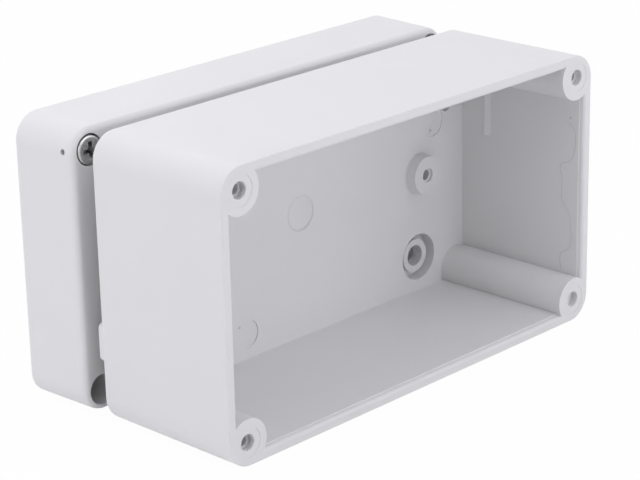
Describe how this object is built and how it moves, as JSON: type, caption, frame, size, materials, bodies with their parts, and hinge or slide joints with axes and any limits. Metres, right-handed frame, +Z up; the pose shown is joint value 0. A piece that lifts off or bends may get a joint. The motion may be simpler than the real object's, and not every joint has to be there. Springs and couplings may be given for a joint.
{
  "type": "plastic project box",
  "caption": "Deep rectangular moulded plastic project box with its lid taken off and standing behind it, the screws still in the lid's corner wells.",
  "frame": {"origin": "on the surface that the box stands on, under the middle of the base", "axes": "+X along the box's length, -Y out of the base's opening, +Z up, across the box's width"},
  "size_m": [0.1171, 0.0656, 0.0635],
  "materials": {
    "light_grey_plastic": "fine moulded satin",
    "zinc_steel": "bright zinc plating"
  },
  "bodies": {
    "base": {"base": "light_grey_plastic"},
    "lid": {"lid": "light_grey_plastic"},
    "screw_upper_left": {"screw_upper_left": "zinc_steel"},
    "screw_upper_right": {"screw_upper_right": "zinc_steel"},
    "screw_lower_left": {"screw_lower_left": "zinc_steel"},
    "screw_lower_right": {"screw_lower_right": "zinc_steel"}
  },
  "joints": [
    {"name": "lid_lift", "type": "slide", "parent": "base", "child": "lid", "axis": [0, 0, 1], "range_m": [0, 0.075]},
    {"name": "screw_upper_left_travel", "type": "slide", "parent": "lid", "child": "screw_upper_left", "axis": [0, -1, 0], "range_m": [-0.0079, 0]},
    {"name": "screw_upper_right_travel", "type": "slide", "parent": "lid", "child": "screw_upper_right", "axis": [0, -1, 0], "range_m": [0, 0.0079]},
    {"name": "screw_lower_left_travel", "type": "slide", "parent": "lid", "child": "screw_lower_left", "axis": [0, -1, 0], "range_m": [0, 0.0079]},
    {"name": "screw_lower_right_travel", "type": "slide", "parent": "lid", "child": "screw_lower_right", "axis": [0, -1, 0], "range_m": [0, 0.0079]}
  ]
}
